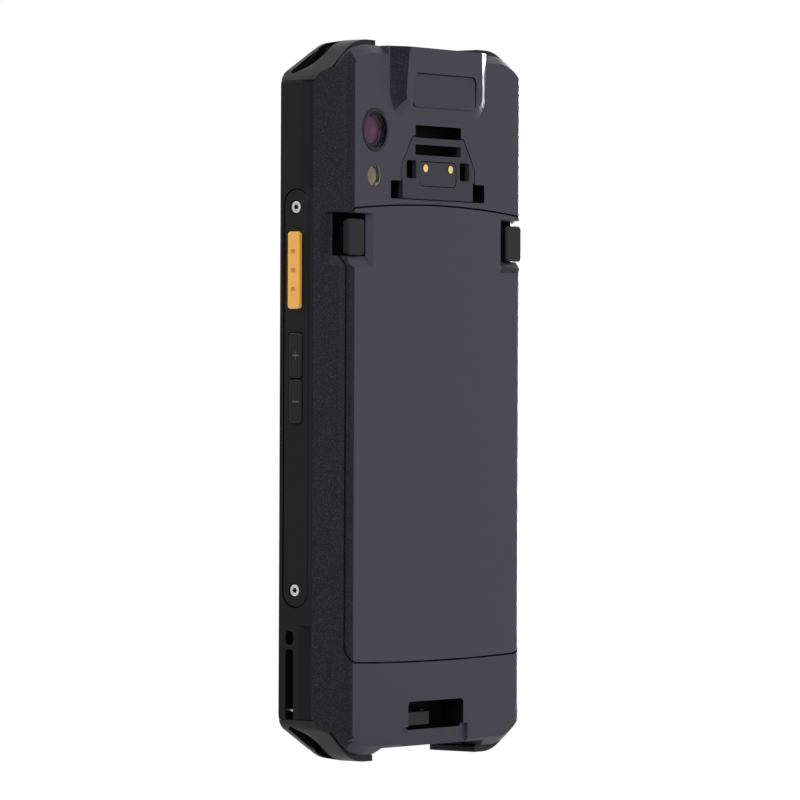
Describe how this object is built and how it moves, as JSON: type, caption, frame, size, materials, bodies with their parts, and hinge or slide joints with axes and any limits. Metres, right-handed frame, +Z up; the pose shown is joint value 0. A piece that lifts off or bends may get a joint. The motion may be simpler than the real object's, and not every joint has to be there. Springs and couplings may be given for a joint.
{
  "type": "handheld barcode data terminal",
  "caption": "rugged handheld data terminal with a scanner hump, side keys, corner bumpers, a back camera and a battery pack held on the back by squeeze latches",
  "frame": {"origin": "lowest point of the bottom corner bumpers, below the middle of the body's width and depth", "axes": "+Z runs up the length to the scanning end, +Y points out of the display, +X runs across the width"},
  "size_m": [0.0792, 0.0188, 0.1659],
  "materials": {
    "housing_plastic": "fine texture",
    "inlay_plastic": "satin",
    "frame_plastic": "satin",
    "bumper_rubber": "satin",
    "glass": "polished",
    "display": "gloss",
    "gasket": "matte",
    "dark_plastic": "matte",
    "magnesium": "cast",
    "board": "solder mask",
    "tin_plate": "satin",
    "steel": "bright",
    "camera_metal": "anodised",
    "camera_glass": "coated",
    "flash_lens": "frosted",
    "led": "gloss",
    "scan_filter": "tinted",
    "yellow_plastic": "satin",
    "gold": "plated",
    "cell_wrap": "pouch foil",
    "flex": "polyimide"
  },
  "bodies": {
    "device": {"back_housing": "housing_plastic", "hump_inlay": "inlay_plastic", "front_frame": "frame_plastic", "corner_bumpers": "bumper_rubber", "camera_ring": "camera_metal", "camera_window": "camera_glass", "camera_module": "dark_plastic", "flash_lens": "flash_lens", "flash_led": "led", "scan_engine": "dark_plastic", "scan_window": "scan_filter", "scan_engine_mount": "magnesium", "accessory_plate": "dark_plastic", "accessory_insert": "frame_plastic", "accessory_contacts": "gold", "strap_anchor": "dark_plastic", "strap_screw": "steel", "strap_pins": "steel", "cover_glass": "glass", "receiver_mesh": "tin_plate", "display_panel": "display", "display_gasket": "gasket", "receiver": "dark_plastic", "front_camera": "dark_plastic", "status_light": "led", "chassis_plate": "magnesium", "main_board": "board", "chassis_screws": "steel", "shield_cans": "tin_plate", "card_holder": "tin_plate", "wireless_antenna": "flex", "battery_connector": "dark_plastic", "connector_springs": "gold", "usb_socket": "steel", "speaker": "dark_plastic", "speaker_mesh": "tin_plate", "microphone": "tin_plate", "vibration_motor": "steel", "side_bezel_left": "frame_plastic", "side_bezel_right": "frame_plastic", "key_flex_left": "flex", "key_flex_right": "flex", "key_domes": "steel", "bezel_screws": "steel", "housing_screws": "steel"},
    "battery": {"battery_shell": "housing_plastic", "battery_tray": "dark_plastic", "battery_cell": "cell_wrap", "battery_board": "board", "battery_terminals": "gold", "battery_seal": "gasket", "latch_springs": "steel"},
    "left_latch": {"latch_left": "dark_plastic"},
    "right_latch": {"latch_right": "dark_plastic"},
    "left_scan_key": {"scan_key_left": "yellow_plastic"},
    "right_scan_key": {"scan_key_right": "yellow_plastic"},
    "louder_key": {"volume_up_key": "frame_plastic"},
    "quieter_key": {"volume_down_key": "frame_plastic"},
    "on_off_key": {"power_key": "frame_plastic"}
  },
  "joints": [
    {"name": "battery_tilt", "type": "hinge", "parent": "device", "child": "battery", "pos_m": [0, -0.0071, 0.0227], "axis": [1, 0, 0], "range_deg": [0, 30]},
    {"name": "latch_left_squeeze", "type": "slide", "parent": "battery", "child": "left_latch", "axis": [1, 0, 0], "range_m": [0, 0.0011], "stiffness_N_per_m": 400, "springref_m": -0.001},
    {"name": "latch_right_squeeze", "type": "slide", "parent": "battery", "child": "right_latch", "axis": [-1, 0, 0], "range_m": [0, 0.0011], "stiffness_N_per_m": 400, "springref_m": -0.001},
    {"name": "scan_key_left_press", "type": "slide", "parent": "device", "child": "left_scan_key", "axis": [1, 0, 0], "range_m": [0, 0.0004], "stiffness_N_per_m": 1000, "springref_m": -0.0002},
    {"name": "scan_key_right_press", "type": "slide", "parent": "device", "child": "right_scan_key", "axis": [-1, 0, 0], "range_m": [0, 0.0004], "stiffness_N_per_m": 1000, "springref_m": -0.0002},
    {"name": "volume_up_press", "type": "slide", "parent": "device", "child": "louder_key", "axis": [1, 0, 0], "range_m": [0, 0.0003], "stiffness_N_per_m": 1000, "springref_m": -0.0002},
    {"name": "volume_down_press", "type": "slide", "parent": "device", "child": "quieter_key", "axis": [1, 0, 0], "range_m": [0, 0.0003], "stiffness_N_per_m": 1000, "springref_m": -0.0002},
    {"name": "power_press", "type": "slide", "parent": "device", "child": "on_off_key", "axis": [-1, 0, 0], "range_m": [0, 0.0003], "stiffness_N_per_m": 1000, "springref_m": -0.0002}
  ]
}
